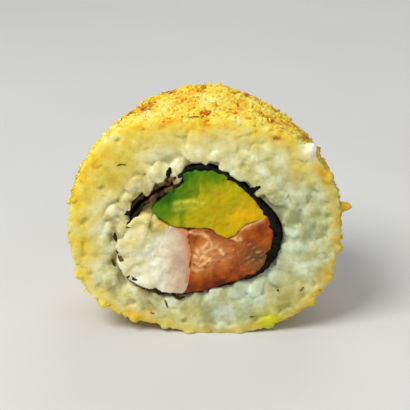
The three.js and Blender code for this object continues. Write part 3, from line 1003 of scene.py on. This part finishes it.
class Finish:
    """A material, and short ways to add its nodes. A name as an input stands for that attribute."""

    def __init__(self, name, **sockets):
        self.material = bpy.data.materials.new(name)
        self.material.use_nodes = True
        self.tree = self.material.node_tree
        self.shader = self.tree.nodes["Principled BSDF"]
        for key, value in sockets.items():
            self.shader.inputs[key.replace("_", " ")].default_value = value
        self.places = self.node("TexCoord").outputs["Object"]

    def node(self, kind, inputs=(), **settings):
        made = self.tree.nodes.new("ShaderNode" + kind)
        for key, value in settings.items():
            setattr(made, key, value)
        for key, value in dict(inputs).items():
            if isinstance(value, str):
                value = self.node("Attribute", attribute_name=value).outputs["Fac"]
            if isinstance(value, bpy.types.NodeSocket):
                self.tree.links.new(value, made.inputs[key])
            else:
                made.inputs[key].default_value = value
        return made

    def set(self, key, socket):
        self.tree.links.new(socket, self.shader.inputs[key])

    def speckle(self, size, detail=3, stretch=(1, 1, 1)):
        places = self.node("Mapping", {"Vector": self.places, "Scale": stretch}).outputs["Vector"]
        inputs = {"Vector": places, "Scale": 1 / (size * MM), "Detail": detail}
        return self.node("TexNoise", inputs).outputs["Fac"]

    def minus(self, first, second):
        return self.node("Math", {0: first, 1: second}, operation="SUBTRACT").outputs[0]

    def scaled(self, value, factor, added):
        inputs = {0: value, 1: factor, 2: added}
        return self.node("Math", inputs, operation="MULTIPLY_ADD").outputs[0]

    def ramp(self, factor, *stops):
        made = self.node("ValToRGB", {"Fac": factor})
        elements = made.color_ramp.elements
        while len(elements) < len(stops):
            elements.new(0.5)
        for element, (position, *colour) in zip(elements, stops):
            element.position = position
            element.color = srgb(*colour)
        return made.outputs["Color"]

    def mix(self, factor, first, second, blend="MIX"):
        if isinstance(second, tuple):
            second = srgb(*second)
        inputs = {0: factor, 6: first, 7: second}
        return self.node("Mix", inputs, data_type="RGBA", blend_type=blend).outputs[2]

    def bump(self, distance, *grain, **stretch):
        inputs = {"Height": self.speckle(*grain, **stretch), "Distance": distance * MM}
        self.set("Normal", self.node("Bump", inputs).outputs["Normal"])


def soft_finish(name, weight, radius, scale, **sockets):
    return Finish(
        name, Subsurface_Weight=weight, Subsurface_Radius=radius, Subsurface_Scale=scale * MM, **sockets,
    )


def ring_material():
    finish = soft_finish("fried_rice_and_crumb", 0.35, (1, 0.85, 0.45), 1.1, Specular_IOR_Level=0.32)
    # Painted light: a shaded, greener copy of the rice colour and a lit, warmer one, mixed by the lit
    # attribute
    damp = finish.ramp(
        finish.speckle(2.4, 4),
        (0.34, 150, 160, 108), (0.48, 186, 196, 152), (0.6, 212, 224, 194), (0.7, 230, 242, 222),
    )
    lit = finish.ramp(
        finish.speckle(2.4, 4),
        (0.34, 208, 194, 118), (0.48, 230, 222, 160), (0.6, 242, 238, 190), (0.7, 250, 248, 216),
    )
    # Painted highlight: bluish white on the shaded rice below the salmon
    damp = finish.mix("whitened", damp, (218, 232, 206))
    rice = finish.mix("lit", damp, lit)
    rice = finish.mix(1, rice, finish.scaled("grain_tone", 0.24, 0.86), "MULTIPLY")
    # Yellow from the frying's stain, and painted warm light at the upper left
    stain = finish.ramp(finish.speckle(1.6), (0.3, 216, 184, 44), (0.5, 232, 208, 78), (0.72, 240, 226, 128))
    rice = finish.mix("stained", rice, stain)
    # Painted shade: olive darkening in the creases, the deeper the darker
    rice = finish.mix(finish.scaled("sunk", 0.36, -0.08), rice, (124, 120, 62))
    level = finish.scaled(finish.speckle(0.7), 0.36, "brown")
    crust = finish.ramp(
        finish.minus(level, 0.16),
        (0, 240, 230, 150), (0.25, 240, 226, 108), (0.48, 244, 216, 70), (0.7, 242, 196, 34),
        (0.88, 226, 158, 20), (1, 176, 108, 20),
    )
    # Painted shade: a darker copy of the crust, kept where the lit attribute is low
    dull = finish.mix(1, crust, (220, 210, 186), "MULTIPLY")
    crust = finish.mix("lit", dull, crust)
    # Painted shade: olive brown between the grains, round the pocket and on the shaded spots
    rice = finish.mix("soiled", rice, (134, 118, 56))
    colour = finish.mix("crust", rice, crust)
    colour = finish.mix("lime", colour, (206, 206, 20))
    finish.set("Base Color", finish.mix("white", colour, (246, 244, 214)))
    finish.set("Roughness", finish.scaled("crust", 0.3, 0.36))
    finish.bump(0.12, 0.45, 4)
    return finish.material


def nori_material():
    finish = Finish("toasted_nori", Roughness=0.6, Specular_IOR_Level=0.12)
    level = finish.scaled(finish.speckle(0.9, 4), 0.4, "browned")
    finish.set("Base Color", finish.ramp(
        level, (0.4, 10, 11, 6), (0.7, 24, 20, 10), (0.95, 74, 50, 26), (1, 110, 84, 44),
    ))
    finish.bump(0.2, 0.5, 4)
    return finish.material


def avocado_material():
    finish = soft_finish("ripe_avocado", 0.15, (1, 0.9, 0.05), 0.8, Roughness=0.4, Specular_IOR_Level=0.16)
    lines = finish.speckle(1, 4, stretch=(1, 1, 0.3))
    level = finish.scaled(finish.minus(lines, 0.4), 0.5, "ripe")
    flesh = finish.ramp(
        level, (0.02, 46, 94, 0), (0.18, 78, 126, 0), (0.38, 114, 136, 0), (0.56, 178, 170, 2),
        (0.76, 198, 168, 0), (1, 232, 182, 6),
    )
    # Painted highlight: pale yellow green along the ridges
    finish.set("Base Color", finish.mix("pale", flesh, (206, 210, 78)))
    finish.bump(0.1, 0.5, stretch=(1, 1, 0.25))
    return finish.material


def salmon_material():
    finish = soft_finish(
        "salmon", 0.15, (1, 0.35, 0.05), 0.8, Roughness=0.36, Specular_IOR_Level=0.14,
        Coat_Weight=0.18, Coat_Roughness=0.1,
    )
    flesh = finish.ramp(
        "deep", (0, 216, 134, 40), (0.3, 186, 96, 8), (0.55, 160, 68, 0), (0.8, 102, 34, 0), (1, 62, 18, 0),
    )
    greyed = finish.mix("grey", flesh, (112, 74, 36))
    # Pale fat, with painted highlights and sheen in the same colour
    finish.set("Base Color", finish.mix("fat", greyed, (242, 188, 124)))
    finish.bump(0.12, 0.7)
    return finish.material


def prawn_material():
    finish = soft_finish(
        "prawn", 0.4, (1, 0.6, 0.4), 1.4, Roughness=0.34, Coat_Weight=0.1, Coat_Roughness=0.25,
    )
    flesh = finish.ramp(
        finish.speckle(2.6), (0.3, 196, 160, 128), (0.52, 210, 184, 152), (0.72, 226, 212, 180),
    )
    flesh = finish.mix("pale", flesh, (232, 224, 196))
    finish.set("Base Color", finish.mix("blush", flesh, (222, 116, 44)))
    finish.bump(0.1, 0.9)
    return finish.material


def cheese_material():
    finish = soft_finish("cream_cheese", 0.35, (1, 0.9, 0.5), 1.2, Roughness=0.5)
    level = finish.scaled(finish.speckle(1.6, 4), 0.5, "shade")
    cheese = finish.ramp(
        finish.minus(level, 0.25),
        (0.15, 238, 238, 212), (0.45, 230, 222, 168), (0.75, 228, 214, 132), (1, 150, 134, 60),
    )
    finish.set("Base Color", finish.mix("amber", cheese, (226, 176, 56)))
    finish.bump(0.08, 0.6, 4)
    return finish.material


def fleck_material():
    finish = Finish("fried_fleck", Roughness=0.6, Specular_IOR_Level=0.1)
    finish.set("Base Color", finish.ramp(
        "dark", (0.1, 206, 92, 0), (0.5, 120, 92, 26), (0.75, 62, 46, 16), (1, 14, 12, 6),
    ))
    finish.bump(0.08, 0.4)
    return finish.material


def floor_material():
    finish = Finish("pale_floor", Roughness=0.7, Specular_IOR_Level=0.3)
    finish.set("Base Color", finish.ramp(finish.speckle(60, 2), (0.3, 214, 213, 209), (0.7, 218, 217, 213)))
    return finish.material


# Camera, lights and floor
CAMERA_ELEVATION = math.radians(22.5)
CAMERA_DISTANCE = 210
CAMERA_AIM_HEIGHT = 20.7
FOCAL_PIXELS = 1080
FRAME_PIXELS = 410
SENSOR_WIDTH = 36
# In metres and watts: name, place, size, power
LIGHTS = [
    ("key", (-0.28, -0.25, 0.5), 0.3, 3.2), ("fill", (0.5, -0.4, 0.3), 0.5, 0.8),
    ("back", (0.1, 0.5, 0.45), 0.4, 1),
]
FLOOR_REACH = 3


def add_camera():
    data = bpy.data.cameras.new("camera")
    data.sensor_width = SENSOR_WIDTH
    data.lens = FOCAL_PIXELS / FRAME_PIXELS * SENSOR_WIDTH
    camera = add_object("camera", data)
    back = CAMERA_DISTANCE * math.cos(CAMERA_ELEVATION)
    up = CAMERA_DISTANCE * math.sin(CAMERA_ELEVATION)
    camera.location = (SHIFT_X * MM, -back * MM, (CAMERA_AIM_HEIGHT + up) * MM)
    camera.rotation_euler = (math.pi / 2 - CAMERA_ELEVATION, 0, 0)
    scene.camera = camera


# A light that shines on the middle of the slice
def add_light(name, spot, size, power):
    data = bpy.data.lights.new(name, "AREA")
    data.size = size
    data.energy = power
    light = add_object(name, data)
    light.location = spot
    aim = -light.location.copy()
    aim.z += ROLL_MIDDLE * MM
    light.rotation_euler = aim.to_track_quat("-Z", "Y").to_euler()


def add_stage():
    corners = [(x * FLOOR_REACH, y * FLOOR_REACH, 0) for x, y in [(-1, -1), (1, -1), (1, 1), (-1, 1)]]
    floor = add_object("floor", mesh_of(corners, [(0, 1, 2, 3)]))
    floor.data.materials.append(floor_material())
    for light in LIGHTS:
        add_light(*light)
    world = bpy.data.worlds.new("soft_room")
    world.use_nodes = True
    background = world.node_tree.nodes["Background"].inputs
    background["Color"].default_value = srgb(236, 240, 246)
    background["Strength"].default_value = 0.3
    scene.world = world
    scene.view_settings.view_transform = "Standard"


add_camera()
add_stage()
ring = ring_material()
build_ring(ring)
build_loose_crumbs(ring)
build_flecks(fleck_material())
build_nori(nori_material())
build_filling(
    "avocado_wedge", AVOCADO, (2, 26), avocado_relief, 0.5, avocado_material(), "avocado",
    ripe=avocado_ripe, pale=avocado_pale,
)
build_filling(
    "salmon_block", SALMON, (6, 14), salmon_relief, 0.6, salmon_material(), "salmon",
    deep=salmon_deep, grey=salmon_grey, fat=salmon_fat,
)
build_filling(
    "prawn_piece", PRAWN, (-5.5, 14), prawn_relief, 0.35, prawn_material(), "prawn",
    blush=prawn_blush, pale=prawn_pale,
)
build_filling(
    "cheese_filling", CREAM_CHEESE, (-12, 16), cheese_relief, 0.5, cheese_material(), "cream_cheese",
    shade=cheese_shade, amber=cheese_amber,
)
